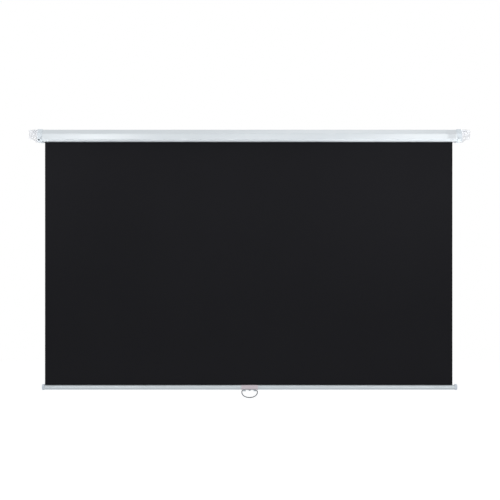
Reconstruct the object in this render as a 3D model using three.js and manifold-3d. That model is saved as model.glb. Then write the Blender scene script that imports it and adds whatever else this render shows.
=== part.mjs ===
// Pull-down projector screen: a spring roller in a steel case, a dark screen sheet and a weighted bar.
// Units are millimetres. +X runs along the case to the viewer's right, +Y goes into the wall, +Z is up.
// The origin is the centre of the case's flat back face.
import * as THREE from 'three';
import { mergeVertices } from 'three/addons/utils/BufferGeometryUtils.js';
import Module from 'manifold-3d';

const wasm = await Module();
wasm.setup();

// Fits
const fitGap = 0.3; // between pieces that rest against each other
const runningGap = 0.4; // round a pin that something turns on
const overrun = 2; // how far a cut runs past the face that it opens

// Case: a folded steel section, open along its underside. Its length and depth follow the roller
const caseHeight = 66;
const caseWall = 1.2;
const rollerRoom = 5.275; // from the roller's sheet to the inside of the case's front
const topChamferDepth = 20;
const topChamferHeight = 24.5;
const lowerChamferDepth = 12;
const lowerChamferHeight = 10;
const slotWidth = 16;
const slotLip = 5;

// End caps: collars that close the case and carry the roller
const capWidth = 24;
const capWall = 2.5;
const capEndWall = 3;
const bossRadius = 10;
const bossLength = 8;
const screwBossRadius = 4.5;
const screwBossLength = 7;
const capScrewInset = 5.25; // from the collar's inner edge
const frontScrewRise = 6; // above the lower edge of the case's front
const footScrewInset = 9; // behind the front edge of the case's underside

// Mounting brackets: a wall plate, a ceiling flange and a side flange that meet in one corner
const bracketReach = 64;
const bracketPlate = 3;
const bracketHeight = 70;
const earRise = 17; // from the bracket's foot to the ear's
const wallHoleReach = 31; // from the cap
const wallHoleRise = 9.2; // above the ear's foot
const wallHoleRadius = 4.5;
const ceilingHoleReach = 17; // from the cap
const ceilingHoleRadius = 4;
const ceilingHoleY = -18;
const bracketScrewY = -12; // the two screws that hold a bracket to its cap
const bracketScrewSpread = 20;

// Screen sheet and bottom bar
const sheetWidth = 2290;
const sheetOffset = -5; // the sheet sits a little nearer the ratchet end
const sheetThickness = 0.45;
const barDrop = 1377; // from the underside of the case to the centre of the bar, pulled right out
const barMargin = 19.5; // how far the bar, with its end caps, runs past half the sheet's width
const barRadius = 13.2;
const barWall = 1.5;
const barSlot = 4;
const wallClearance = 1.5; // between the bar's end caps and the wall
const hemRodRadius = 4;
const hemThickness = 0.6;

// Roller: ten whole turns lift the bar by 2 pi times the wound radius times ten
const tubeRadius = 20;
const tubeWall = 1.2;
const tubeMargin = 7; // how far the tube runs past half the sheet's width
const wrapThickness = 1.2; // the turns of sheet that stay on the roller
const axleRadius = 4; // the spindle and the idler pin
const shoulderRadius = 6.5;
const shoulderLength = 6.9;
const bladeWidth = 4; // the flat end of the spindle
const bladeHeight = 9;
const bushRadius = 7;
const plugLength = 22;
const flangeWidth = 2.7;

// Ratchet: two pawls on the roller's end drop into a fixed cam when the roller turns slowly
const camGap = 1.5; // from the roller's flange to the cam
const camWidth = 5;
const pawlWidth = 4;
const pawlPin = 1.5;
const pawlPinCrown = 1.5;
const pawlEye = 3.3;
const pawlArm = 2;
const pawlTooth = 1.5;
const camShare = 0.475; // the cam's radius, of the tube's
const pawlShare = 0.75; // from the roller's axis to a pawl's pin, of the tube's radius
const elbowShares = [-1, 1.105]; // of the cam's radius from its axis, with the tooth in its notch
const toothShares = [-0.61, 0.547];
const pawlSwing = THREE.MathUtils.degToRad(25);
const notchClearance = 0.5;

// Roller spring: wound from the fixed anchor on the spindle to a plug that turns with the tube
const springRadius = 12;
const springWire = 1.5;
const springPitch = 8;
const springTurns = 40;
const springLead = 3;
const anchorInset = 48; // from the end of the tube
const anchorFlange = 4;
const anchorSpool = 15;

// Bar end caps: sleeves over the ends of the bar
const barCapLength = 12;
const barCapEndWall = 3;
const barCapWall = 1;
const barCapRise = 3.8; // how far the cap's top stands above the bar's
const barCapCorner = 8;

// Handle: a film band round the bar, and a steel saddle with two knuckles that the ring turns in
const bandMargin = 9.1; // how far the band shows past each end of the saddle
const bandThickness = 0.8;
const bandOpening = 40; // degrees left bare at the top of the bar
const saddlePlate = 1.5;
const saddleHalf = 37.2;
const saddleSpan = 84; // degrees
const knuckleWall = 1.1;
const knuckleLength = 15;

// Pull ring
const ringSideRoom = 1.1; // between a knuckle's end and the ring's bend
const ringDepth = 39;
const ringWireRadius = 2.6;

// Screws: head radius, head height, shank radius and length under the head
const smallScrew = { head: 3, crown: 1.8, shank: 1.5, length: 8 };
const bracketScrew = { head: 3.6, crown: 2.2, shank: 1.9, length: 9 };
const saddleScrew = { head: 6.5, crown: 3.5, shank: 2.2, length: 9.5 };
const nutRadius = 4.6;
const nutHeight = 3.5;

// Facets of round pieces
const fineSides = 48;
const midSides = 24;
const smallSides = 12;
const nutSides = 6;
const springSides = 5;
const springSteps = 8; // points in each turn

// Finishes
const whitePaint = { color: 0xe6ecf0, roughness: 0.32, metalness: 0 };
const paleMoulding = { color: 0xe3e6ea, roughness: 0.42, metalness: 0 };
const barPaint = { color: 0xc4cacd, roughness: 0.38, metalness: 0.3 };
const barMoulding = { color: 0xa9b4c0, roughness: 0.45, metalness: 0 };
const screenCloth = { color: 0x1f1f22, roughness: 0.85, metalness: 0 };
const greyFilm = { color: 0xcfd4d8, roughness: 0.5, metalness: 0 };
const roseFilm = { color: 0xc1b6bc, roughness: 0.5, metalness: 0 };
const wireSteel = { color: 0x85878a, roughness: 0.3, metalness: 1 };
const plainSteel = { color: 0xb4b7ba, roughness: 0.4, metalness: 1 };
const springSteel = { color: 0x6d7076, roughness: 0.35, metalness: 1 };
const blackMoulding = { color: 0x2c2d30, roughness: 0.5, metalness: 0 };
const nylon = { color: 0xdedcd2, roughness: 0.55, metalness: 0 };
const aluminium = { color: 0xc9cccf, roughness: 0.35, metalness: 1 };

// Places that several pieces share
const caseTop = caseHeight / 2;
const caseBottom = -caseHeight / 2;
const sleeveRadius = barRadius + fitGap;
const barCapRadius = sleeveRadius + barCapWall;
const barEnd = sheetWidth / 2 + barMargin;
const sheetY = -(barCapRadius + wallClearance);
const barZ = caseBottom - barDrop;
const woundRadius = tubeRadius + fitGap + wrapThickness;
const rollerY = sheetY - sheetThickness / 2 - fitGap - woundRadius;
const caseDepth = woundRadius - rollerY + rollerRoom + caseWall;
const tubeInside = tubeRadius - tubeWall;
const tubeEnd = sheetWidth / 2 + tubeMargin;
const flangeFace = -(tubeEnd + fitGap + flangeWidth);
const camFace = flangeFace - camGap;
const camBack = camFace - camWidth;
const bossFace = shoulderLength + 2 * fitGap - camBack;
const capInside = bossFace + bossLength;
const capEnd = capInside + capEndWall;
const capStart = capEnd - capWidth;
const capTop = caseTop + fitGap + capWall;
const collarFace = -(caseDepth + fitGap + capWall);
const collarFoot = caseBottom - fitGap - capWall;
const capScrewX = capStart + capScrewInset;
const frontScrewZ = caseBottom + lowerChamferHeight + frontScrewRise;
const footScrewY = lowerChamferDepth - caseDepth + footScrewInset;
const bracketFoot = capTop - bracketHeight;
const earFoot = bracketFoot + earRise;
const wallHoleX = capEnd + wallHoleReach;
const wallHoleZ = earFoot + wallHoleRise;
const ceilingHoleX = capEnd + ceilingHoleReach;
const pawlPlace = pawlShare * tubeRadius;
const camRadius = camShare * tubeRadius;
const anchorStart = anchorInset - tubeEnd;
const springStart = anchorStart + anchorFlange + fitGap;
const springLength = springPitch * springTurns + 2 * springLead;
const spoolRadius = springRadius * Math.cos(Math.PI / springSteps) - springWire - fitGap;
const hemRadius = hemRodRadius + fitGap + hemThickness;
const barInside = barRadius - barWall;
const halfSlot = barSlot / 2;
const bandRadius = sleeveRadius + bandThickness;
const bandHalf = saddleHalf + bandMargin;
const saddleInside = bandRadius + fitGap;
const saddleRadius = saddleInside + saddlePlate;
const knuckleRadius = ringWireRadius + runningGap + knuckleWall;
const knuckleDrop = saddleInside + knuckleRadius;
const xAxis = new THREE.Vector3(1, 0, 0);
const yAxis = new THREE.Vector3(0, 1, 0);
const zAxis = new THREE.Vector3(0, 0, 1);

// The hem hangs the bar by the lips of its slot
const lipHeight = Math.sqrt(barInside ** 2 - halfSlot ** 2);
const hemRise = lipHeight - Math.sqrt((hemRadius + fitGap) ** 2 - halfSlot ** 2);

// The case's outline in Y and Z, from the foot of its back, round the front to the top of its back
const caseProfile = [
  [0, caseBottom],
  [lowerChamferDepth - caseDepth, caseBottom],
  [-caseDepth, caseBottom + lowerChamferHeight],
  [-caseDepth, caseTop - topChamferHeight],
  [topChamferDepth - caseDepth, caseTop],
  [0, caseTop],
];

function leftNormal(from, to) {
  return new THREE.Vector2(from[1] - to[1], to[0] - from[0]).normalize();
}

// The points of an open line moved to its left by a distance, with mitred corners
function setOff(points, distance) {
  return points.map((point, i) => {
    const before = i > 0 ? leftNormal(points[i - 1], point) : leftNormal(point, points[i + 1]);
    const after = i < points.length - 1 ? leftNormal(point, points[i + 1]) : before;
    const mitre = distance / (1 + before.dot(after));
    return [point[0] + mitre * (before.x + after.x), point[1] + mitre * (before.y + after.y)];
  });
}

// The closed outline of sheet metal folded along an open line, with its thickness to the left
function folded(points, thickness) {
  return [...points, ...setOff(points, thickness).reverse()];
}

function arc(centre, radius, fromDegrees, toDegrees, steps) {
  return Array.from({ length: steps + 1 }, (_, i) => {
    const angle = THREE.MathUtils.degToRad(fromDegrees + (toDegrees - fromDegrees) * i / steps);
    return [centre[0] + radius * Math.cos(angle), centre[1] + radius * Math.sin(angle)];
  });
}

function circle(radius, sides, centre = [0, 0]) {
  return arc(centre, radius, 0, 360, sides).slice(0, sides);
}

// A flat bar's outline between two points, with round ends
function roundedBar(from, to, radius) {
  const heading = THREE.MathUtils.radToDeg(Math.atan2(to[1] - from[1], to[0] - from[0]));
  return [
    ...arc(from, radius, heading + 90, heading + 270, smallSides / 2),
    ...arc(to, radius, heading - 90, heading + 90, smallSides / 2),
  ];
}

// An outline carried along one axis. Its coordinates are Y and Z along x, X and Z along y,
// and X and Y along z
function prism(axis, points, from, to, hole) {
  const shape = new THREE.Shape(points.map(([a, b]) => new THREE.Vector2(a, b)));
  if (hole) shape.holes.push(new THREE.Path(hole.map(([a, b]) => new THREE.Vector2(a, b))));
  const low = Math.min(from, to);
  const high = Math.max(from, to);
  const geometry = new THREE.ExtrudeGeometry(shape, { depth: high - low, bevelEnabled: false });
  if (axis === 'z') return geometry.translate(0, 0, low);
  const turn = new THREE.Matrix4();
  if (axis === 'x') {
    turn.makeBasis(yAxis, zAxis, xAxis);
    return geometry.applyMatrix4(turn).translate(low, 0, 0);
  }
  turn.makeBasis(xAxis, zAxis, yAxis.clone().negate());
  return geometry.applyMatrix4(turn).translate(0, high, 0);
}

function rod(radius, from, to, sides = midSides) {
  return prism('x', circle(radius, sides), from, to);
}

function pipe(outer, inner, from, to, sides = fineSides) {
  return prism('x', circle(outer, sides), from, to, circle(inner, sides));
}

// A profile of radius and height turned about Z, listed from its foot to its top
function turned(profile, sides) {
  const points = profile.map(([radius, height]) => new THREE.Vector2(radius, height));
  return new THREE.LatheGeometry(points, sides).rotateX(Math.PI / 2);
}

// A screw along Z: the head stands above 0 and the shank hangs below it
function screwShape({ head, crown, shank, length }, sides = smallSides) {
  return turned([
    [0, -length],
    [shank / 2, -length],
    [shank, shank - length],
    [shank, 0],
    [head, 0],
    [head, crown / 2],
    [head / 2, crown],
    [0, crown],
  ], sides);
}

// A round wire along a row of points, with flat ends. Its section turns only as the path turns
function wire(points, radius, sides) {
  const last = points.length - 1;
  const position = [];
  const index = [];
  const across = new THREE.Vector3(1, 1, 1);
  points.forEach((point, i) => {
    const along = points[Math.min(i + 1, last)].clone().sub(points[Math.max(i - 1, 0)]).normalize();
    across.addScaledVector(along, -across.dot(along)).normalize();
    const beside = along.clone().cross(across);
    for (let k = 0; k < sides; k += 1) {
      const angle = 2 * Math.PI * k / sides;
      const spoke = across.clone().multiplyScalar(Math.cos(angle));
      spoke.addScaledVector(beside, Math.sin(angle));
      position.push(...point.clone().addScaledVector(spoke, radius).toArray());
      const here = i * sides + k;
      const next = i * sides + (k + 1) % sides;
      if (i < last) index.push(here, next, here + sides, next, next + sides, here + sides);
    }
  });
  const end = last * sides;
  for (let k = 2; k < sides; k += 1) index.push(0, k, k - 1, end, end + k - 1, end + k);
  const geometry = new THREE.BufferGeometry();
  geometry.setAttribute('position', new THREE.Float32BufferAttribute(position, 3));
  geometry.setIndex(index);
  geometry.computeVertexNormals();
  return geometry;
}

// A closed geometry as a solid that can be joined and cut
function solid(geometry) {
  const bare = geometry.clone();
  bare.deleteAttribute('normal');
  bare.deleteAttribute('uv');
  const merged = mergeVertices(bare);
  const corners = merged.index.array;
  const triVerts = [];
  for (let i = 0; i < corners.length; i += 3) {
    const [a, b, c] = corners.slice(i, i + 3);
    if (a !== b && b !== c && c !== a) triVerts.push(a, b, c);
  }
  return new wasm.Manifold(new wasm.Mesh({
    numProp: 3,
    vertProperties: merged.attributes.position.array,
    triVerts: Uint32Array.from(triVerts),
  }));
}

function surface(made) {
  const { vertProperties, triVerts } = made.getMesh();
  const geometry = new THREE.BufferGeometry();
  geometry.setAttribute('position', new THREE.BufferAttribute(vertProperties, 3));
  geometry.setIndex(new THREE.BufferAttribute(triVerts, 1));
  const flat = geometry.toNonIndexed();
  flat.computeVertexNormals();
  return flat;
}

function joined(first, ...others) {
  return others.reduce((made, geometry) => made.add(solid(geometry)), solid(first));
}

function without(made, ...cutters) {
  return surface(cutters.reduce((rest, geometry) => rest.subtract(solid(geometry)), made));
}

function piece(group, name, geometry, finish) {
  const mesh = new THREE.Mesh(geometry, new THREE.MeshStandardMaterial(finish));
  mesh.name = name;
  group.add(mesh);
  return mesh;
}

function groupAt(parent, x, y, z) {
  const group = new THREE.Group();
  group.position.set(x, y, z);
  parent.add(group);
  return group;
}

// The holes that the cap screws pass through, in the collar and in the case alike
function capScrewHoles(side) {
  const radius = smallScrew.shank + fitGap;
  const x = side * capScrewX;
  return [
    prism('y', circle(radius, smallSides, [x, frontScrewZ]), collarFace - overrun, overrun - caseDepth),
    prism('z', circle(radius, smallSides, [x, footScrewY]), collarFoot - overrun, caseBottom + overrun),
  ];
}

function caseShell() {
  const rear = sheetY + slotWidth / 2;
  const front = sheetY - slotWidth / 2;
  const lipTop = caseBottom + slotLip;
  const line = [
    [rear, lipTop],
    [rear, caseBottom],
    [0, caseBottom],
    ...caseProfile.slice(1).reverse(),
    [front, caseBottom],
    [front, lipTop],
  ];
  const end = capInside - fitGap;
  const shell = solid(prism('x', folded(line, caseWall), -end, end));
  return without(shell, ...capScrewHoles(-1), ...capScrewHoles(1), ratchetWindow());
}

// A window through the cap and the case at the ratchet end, low on the front beside the cap's end wall
function ratchetWindow() {
  const width = 11.5;
  const height = 6.5;
  const depth = 16;
  const rise = 3.7; // above the case's foot
  const foot = caseBottom + rise;
  const back = depth - caseDepth;
  const outline = [
    [collarFace - overrun, foot],
    [back, foot],
    [back, foot + height],
    [collarFace - overrun, foot + height],
  ];
  return prism('x', outline, -capInside, width - capInside);
}

function endCap(side) {
  const collar = prism('x', setOff(caseProfile, fitGap + capWall), side * capStart, side * capEnd);
  const cavity = [
    ...setOff(caseProfile, fitGap),
    [overrun, caseTop + fitGap],
    [overrun, caseBottom - fitGap],
  ];
  const hollow = prism('x', cavity, side * (capStart - overrun), side * capInside);
  const embedded = side * (capEnd - capEndWall / 2);
  const boss = prism('x', circle(bossRadius, midSides, [rollerY, 0]), side * bossFace, embedded);
  const screwPlaces = [bracketScrewSpread, -bracketScrewSpread].map((z) => [bracketScrewY, z]);
  const screwBosses = screwPlaces.map((place) => prism(
    'x',
    circle(screwBossRadius, smallSides, place),
    side * (capInside - screwBossLength),
    embedded,
  ));
  const screwHoles = screwPlaces.map((place) => prism(
    'x',
    circle(bracketScrew.shank + fitGap, smallSides, place),
    side * (capInside - screwBossLength - overrun),
    side * (capEnd + overrun),
  ));
  const seatStart = side * (bossFace - overrun);
  const seatOutline = side < 0
    ? bladeOutline(fitGap).map(([y, z]) => [y + rollerY, z])
    : circle(bushRadius + fitGap, midSides, [rollerY, 0]);
  const seat = prism('x', seatOutline, seatStart, side * capInside);
  const cutters = [seat, ...screwHoles, ...capScrewHoles(side)];
  if (side < 0) cutters.push(ratchetWindow());
  const hollowCollar = solid(collar).subtract(solid(hollow));
  const bosses = joined(boss, ...screwBosses);
  return without(hollowCollar.add(bosses), ...cutters);
}

// One bracket: side is 1 on the right and -1 on the left
function bracket(side) {
  const near = capEnd + fitGap;
  const far = capEnd + bracketReach;
  const earCorner = 6;
  const earEdge = 24;
  const slopeStart = 19;
  const flangeDepth = 40;
  const flangeFront = 12;
  const flangeTip = 8;
  const sideDepth = 34;
  const sideTip = 14;
  const gussetInset = 30;
  const gussetX = near + gussetInset;
  const gussetPlate = 2.5;
  const gussetDepth = 29;
  const gussetDrop = 27;
  const gussetFoot = capTop - bracketPlate - gussetDrop;
  const ribHeight = 4;
  const mirrored = (points) => points.map(([x, other]) => [side * x, other]);
  const ear = prism('y', mirrored([
    [near, bracketFoot],
    [near + slopeStart, bracketFoot],
    [far - earEdge, earFoot],
    [far - earCorner, earFoot],
    [far, earFoot + earCorner],
    [far, capTop],
    [near, capTop],
  ]), -bracketPlate, 0);
  const flange = prism('z', mirrored([
    [near, 0],
    [far, 0],
    [far, -flangeTip],
    [near + flangeFront, -flangeDepth],
    [near, -flangeDepth],
  ]), capTop - bracketPlate, capTop);
  const sideFlange = prism('x', [
    [0, capTop],
    [-sideDepth, capTop],
    [-sideDepth, capTop - sideTip],
    [-sideTip, bracketFoot],
    [0, bracketFoot],
  ], side * near, side * (near + bracketPlate));
  const gusset = prism('x', [
    [-bracketPlate / 2, capTop - bracketPlate / 2],
    [-gussetDepth, capTop - bracketPlate / 2],
    [-gussetDepth, capTop - bracketPlate],
    [-bracketPlate, gussetFoot],
    [-bracketPlate / 2, gussetFoot],
  ], side * gussetX, side * (gussetX + gussetPlate));
  const ribFoot = [far - earCorner, earFoot + earCorner];
  const ribTop = [gussetX + gussetPlate, capTop - bracketPlate];
  const ribOutline = roundedBar(...mirrored([ribFoot, ribTop]), gussetPlate / 2);
  const rib = prism('y', ribOutline, -bracketPlate - ribHeight, -bracketPlate / 2);
  const wallHole = circle(wallHoleRadius, midSides, [side * wallHoleX, wallHoleZ]);
  const ceilingHole = circle(ceilingHoleRadius, midSides, [side * ceilingHoleX, ceilingHoleY]);
  const screwHoles = [1, -1].map((end) => prism(
    'x',
    circle(bracketScrew.shank + fitGap, smallSides, [bracketScrewY, end * bracketScrewSpread]),
    side * (near - overrun),
    side * (near + bracketPlate + overrun),
  ));
  return without(
    joined(ear, flange, sideFlange, gusset, rib),
    prism('y', wallHole, -bracketPlate - overrun, overrun),
    prism('z', ceilingHole, capTop - bracketPlate - overrun, capTop + overrun),
    ...screwHoles,
  );
}

// The section of the spindle's blade, or of the slot that keeps it from turning
function bladeOutline(gap) {
  const y = bladeWidth / 2 + gap;
  const z = bladeHeight / 2 + gap;
  return [[-y, -z], [y, -z], [y, z], [-y, z]];
}

// The points of a pawl's elbow and tooth, from its pin
function pawlPoints() {
  return [elbowShares, toothShares].map(([y, z]) => [y * camRadius, z * camRadius - pawlPlace]);
}

function pawlShape() {
  const [elbow, tooth] = pawlPoints();
  const from = camFace - (camWidth - pawlWidth) / 2;
  const to = from - pawlWidth;
  return without(
    joined(
      rod(pawlEye, from, to, smallSides),
      prism('x', roundedBar([0, 0], elbow, pawlArm), from, to),
      prism('x', roundedBar(elbow, tooth, pawlTooth), from, to),
    ),
    rod(pawlPin + runningGap, from + overrun, to - overrun, smallSides),
  );
}

// The cam's notches are cut by the pawls' teeth as they swing in
function ratchetCam() {
  const steps = 8;
  const notch = roundedBar(...pawlPoints(), pawlTooth + notchClearance);
  const cutters = [];
  for (const turn of [0, Math.PI]) {
    for (let step = 0; step <= steps; step += 1) {
      const tooth = prism('x', notch, camBack - overrun, camFace + overrun);
      cutters.push(tooth.rotateX(-pawlSwing * step / steps).translate(0, 0, pawlPlace).rotateX(turn));
    }
  }
  cutters.push(rod(axleRadius + fitGap, camBack - overrun, camFace + overrun));
  return without(solid(rod(camRadius, camBack, camFace, fineSides)), ...cutters);
}

function spindle() {
  const bladeEnd = fitGap - capInside;
  const shoulderStart = fitGap - bossFace;
  const shoulderEnd = camBack - fitGap;
  return surface(joined(
    prism('x', bladeOutline(0), bladeEnd, shoulderEnd),
    rod(shoulderRadius, shoulderStart, shoulderEnd),
    rod(axleRadius, shoulderStart, anchorStart + anchorFlange + anchorSpool + overrun),
  ));
}

// The middle line of the roller spring, with a straight lead at each end
function springPath() {
  const points = [new THREE.Vector3(springStart, springRadius, 0)];
  for (let i = 0; i <= springTurns * springSteps; i += 1) {
    const angle = 2 * Math.PI * i / springSteps;
    const x = springStart + springLead + springPitch * i / springSteps;
    points.push(new THREE.Vector3(x, springRadius * Math.cos(angle), springRadius * Math.sin(angle)));
  }
  points.push(points[points.length - 1].clone().setX(springStart + springLength));
  return points;
}

// The least gap between turns, from one point to any that is at least half a turn further on
function leastGap(points, radius, apart) {
  let least = Infinity;
  points.forEach((point, i) => {
    for (const other of points.slice(i + apart)) least = Math.min(least, point.distanceTo(other));
  });
  return least - 2 * radius;
}

function rollerSpring() {
  const points = springPath();
  const gap = leastGap(points, springWire, springSteps / 2);
  console.log(`roller_spring: least gap to itself ${gap.toFixed(2)} mm`);
  return wire(points, springWire, springSides);
}

function springAnchor() {
  const end = anchorStart + anchorFlange + anchorSpool;
  return without(joined(
    rod(springRadius + springWire, anchorStart, anchorStart + anchorFlange),
    rod(spoolRadius, anchorStart, end),
  ), rod(axleRadius + fitGap, anchorStart - overrun, end + overrun));
}

// The plug that the spring's far end drives, pressed into the tube
function drivePlug() {
  const face = springStart + springLength + fitGap;
  return surface(joined(
    rod(spoolRadius, face - anchorSpool, face + plugLength),
    rod(tubeInside - fitGap, face, face + plugLength, fineSides),
  ));
}

// A flanged plug in one end of the roller tube, bored for the axle. The left one also has holes
// for the pawl pins
function rollerPlug(side) {
  const flangeStart = side * (tubeEnd + fitGap);
  const flangeEnd = side * (tubeEnd + fitGap + flangeWidth);
  const inner = side * (tubeEnd - plugLength);
  const gap = side < 0 ? runningGap : fitGap;
  const cutters = [rod(axleRadius + gap, inner - side * overrun, flangeEnd + side * overrun)];
  if (side < 0) {
    for (const z of [pawlPlace, -pawlPlace]) {
      const hole = circle(pawlPin + fitGap, smallSides, [0, z]);
      cutters.push(prism('x', hole, inner - side * overrun, flangeEnd + side * overrun));
    }
  }
  return without(joined(
    rod(tubeRadius, flangeStart, flangeEnd, fineSides),
    rod(tubeInside - fitGap, inner, flangeEnd, fineSides),
  ), ...cutters);
}

function pawlPinShape() {
  const headFace = camBack - fitGap;
  return screwShape({
    head: pawlEye - runningGap,
    crown: pawlPinCrown,
    shank: pawlPin,
    length: flangeFace - headFace + flangeWidth,
  }).rotateY(-Math.PI / 2).translate(headFace, 0, 0);
}

// The idler pin: pressed into the right plug, with a shoulder that locates the roller
function idlerPin() {
  const shoulderStart = tubeEnd + 2 * fitGap + flangeWidth;
  const shoulderEnd = bossFace - fitGap;
  return surface(joined(
    rod(axleRadius, tubeEnd - plugLength, capInside - 2 * fitGap),
    rod(shoulderRadius, shoulderStart, shoulderEnd),
  ));
}

function addHousing(screen) {
  piece(screen, 'case_shell', caseShell(), whitePaint);
  for (const [side, name] of [[-1, 'left'], [1, 'right']]) {
    piece(screen, `end_cap_${name}`, endCap(side), paleMoulding);
    piece(screen, `bracket_${name}`, bracket(side), paleMoulding);
    const front = piece(screen, `cap_screw_${name}_front`, screwShape(smallScrew), plainSteel);
    front.position.set(side * capScrewX, collarFace - fitGap, frontScrewZ);
    front.rotation.x = Math.PI / 2;
    const foot = piece(screen, `cap_screw_${name}_foot`, screwShape(smallScrew), plainSteel);
    foot.position.set(side * capScrewX, footScrewY, collarFoot - fitGap);
    foot.rotation.x = Math.PI;
    for (const [end, place] of [[1, 'upper'], [-1, 'lower']]) {
      const screwName = `bracket_screw_${name}_${place}`;
      const screw = piece(screen, screwName, screwShape(bracketScrew), plainSteel);
      const x = side * (capEnd + fitGap + bracketPlate + fitGap);
      screw.position.set(x, bracketScrewY, end * bracketScrewSpread);
      screw.rotation.y = side * Math.PI / 2;
    }
  }
  piece(screen, 'case_badge', caseBadge(), greyFilm);
}

// A plain film badge folded over the upper edge of the case's front, at the right end
function caseBadge() {
  const width = 44;
  const inset = 10;
  const rise = 16;
  const drop = 27;
  const thickness = 0.5;
  const corner = caseProfile[3];
  const share = rise / topChamferHeight;
  const line = [
    [corner[0], corner[1] - drop],
    corner,
    [corner[0] + topChamferDepth * share, corner[1] + rise],
  ];
  const right = capStart - inset;
  return prism('x', folded(setOff(line, fitGap), thickness), right - width, right);
}

// What stands still on the roller's axis
function addFixedAxle(screen) {
  const axle = groupAt(screen, 0, rollerY, 0);
  piece(axle, 'spindle', spindle(), plainSteel);
  piece(axle, 'ratchet_cam', ratchetCam(), plainSteel);
  piece(axle, 'spring_anchor', springAnchor(), nylon);
  piece(axle, 'roller_spring', rollerSpring(), springSteel);
  const bushBore = axleRadius + runningGap;
  const bush = pipe(bushRadius, bushBore, bossFace + fitGap, capInside - fitGap, midSides);
  piece(axle, 'idler_bush', bush, nylon);
}

function addRoller(screen) {
  const roller = groupAt(screen, 0, rollerY, 0);
  const sheetLeft = sheetOffset - sheetWidth / 2;
  piece(roller, 'roller_tube', pipe(tubeRadius, tubeInside, -tubeEnd, tubeEnd), aluminium);
  piece(roller, 'roller_plug_left', rollerPlug(-1), blackMoulding);
  piece(roller, 'roller_plug_right', rollerPlug(1), blackMoulding);
  piece(roller, 'idler_pin', idlerPin(), plainSteel);
  piece(roller, 'spring_drive_plug', drivePlug(), nylon);
  const wraps = pipe(woundRadius, tubeRadius + fitGap, sheetLeft, sheetLeft + sheetWidth);
  piece(roller, 'sheet_wraps', wraps, screenCloth);
  for (const [name, turn] of [['a', 0], ['b', Math.PI]]) {
    const arm = groupAt(roller, 0, 0, 0);
    arm.rotation.x = turn;
    const pinPlace = groupAt(arm, 0, 0, pawlPlace);
    piece(pinPlace, `pawl_pin_${name}`, pawlPinShape(), plainSteel);
    piece(pinPlace, `pawl_${name}`, pawlShape(), plainSteel).rotation.x = -pawlSwing;
  }
}

function addSheet(screen) {
  const bottom = barZ + hemRise + hemRadius + fitGap;
  const sheet = new THREE.BoxGeometry(sheetWidth, sheetThickness, -bottom);
  piece(screen, 'screen_sheet', sheet, screenCloth).position.set(sheetOffset, sheetY, bottom / 2);
}

// Part of a round wall, open between two angles, in Y and Z
function openRing(outer, inner, fromDegrees, toDegrees, steps) {
  return [
    ...arc([0, 0], outer, fromDegrees, toDegrees, steps),
    ...arc([0, 0], inner, toDegrees, fromDegrees, steps),
  ];
}

function saddleScrewHole() {
  return prism('z', circle(saddleScrew.shank + fitGap, smallSides), -saddleRadius - overrun, 0);
}

function barTube() {
  const end = barEnd - barCapEndWall - fitGap;
  const outerEdge = THREE.MathUtils.radToDeg(Math.asin(halfSlot / barRadius));
  const innerEdge = THREE.MathUtils.radToDeg(Math.asin(halfSlot / barInside));
  const section = [
    ...arc([0, 0], barRadius, 90 + outerEdge, 450 - outerEdge, fineSides),
    ...arc([0, 0], barInside, 450 - innerEdge, 90 + innerEdge, fineSides),
  ];
  return without(solid(prism('x', section, -end, end)), saddleScrewHole());
}

// A sleeve over the end of the bar, taller than the bar and with a rounded top
function barCap(side) {
  const top = barRadius + barCapRise;
  const shoulder = barCapRadius - barCapCorner;
  const outline = [
    ...arc([0, 0], barCapRadius, 180, 360, midSides),
    ...arc([shoulder, top - barCapCorner], barCapCorner, 0, 90, smallSides / 2),
    ...arc([-shoulder, top - barCapCorner], barCapCorner, 90, 180, smallSides / 2),
  ];
  const sleeve = prism('x', outline, side * (barEnd - barCapLength), side * barEnd);
  const boreStart = side * (barEnd - barCapLength - overrun);
  const boreEnd = side * (barEnd - barCapEndWall);
  return without(solid(sleeve), rod(sleeveRadius, boreStart, boreEnd, fineSides));
}

function handleBand() {
  const edge = bandOpening / 2;
  const section = openRing(bandRadius, sleeveRadius, 90 + edge, 450 - edge, fineSides);
  return without(solid(prism('x', section, -bandHalf, bandHalf)), saddleScrewHole());
}

function handleSaddle() {
  const edge = saddleSpan / 2;
  const section = openRing(saddleRadius, saddleInside, 270 - edge, 270 + edge, smallSides);
  const plate = prism('x', section, -saddleHalf, saddleHalf);
  const cutters = [saddleScrewHole()];
  const knuckles = [-1, 1].map((side) => {
    const knuckle = circle(knuckleRadius, midSides, [0, -knuckleDrop]);
    const bore = circle(ringWireRadius + runningGap, midSides, [0, -knuckleDrop]);
    const from = side * (saddleHalf - knuckleLength);
    cutters.push(prism('x', bore, from - side * overrun, side * (saddleHalf + overrun)));
    return prism('x', knuckle, from, side * saddleHalf);
  });
  return without(joined(plate, ...knuckles), ...cutters);
}

// The ring: an open wire loop whose ends turn in to run in the knuckles
function pullRing() {
  const bend = 2 * ringWireRadius;
  const half = saddleHalf + ringSideRoom + bend;
  const stubEnd = saddleHalf - knuckleLength + overrun;
  const low = -ringDepth;
  const middle = -2 * bend;
  const left = arc([bend - half, -bend], bend, 90, 180, smallSides / 3);
  const bow = arc([0, 0], 1, 180, 360, midSides)
    .map(([x, z]) => [half * x, middle + (middle - low) * z]);
  const right = left.map(([x, z]) => [-x, z]).reverse();
  const points = [[-stubEnd, 0], ...left, ...bow, ...right, [stubEnd, 0]];
  return wire(points.map(([x, z]) => new THREE.Vector3(x, 0, z)), ringWireRadius, smallSides);
}

function saddleNut() {
  const seat = Math.sqrt(barInside ** 2 - nutRadius ** 2) - fitGap;
  const hole = circle(saddleScrew.shank + fitGap, midSides);
  return prism('z', circle(nutRadius, nutSides), -seat, nutHeight - seat, hole);
}

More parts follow.
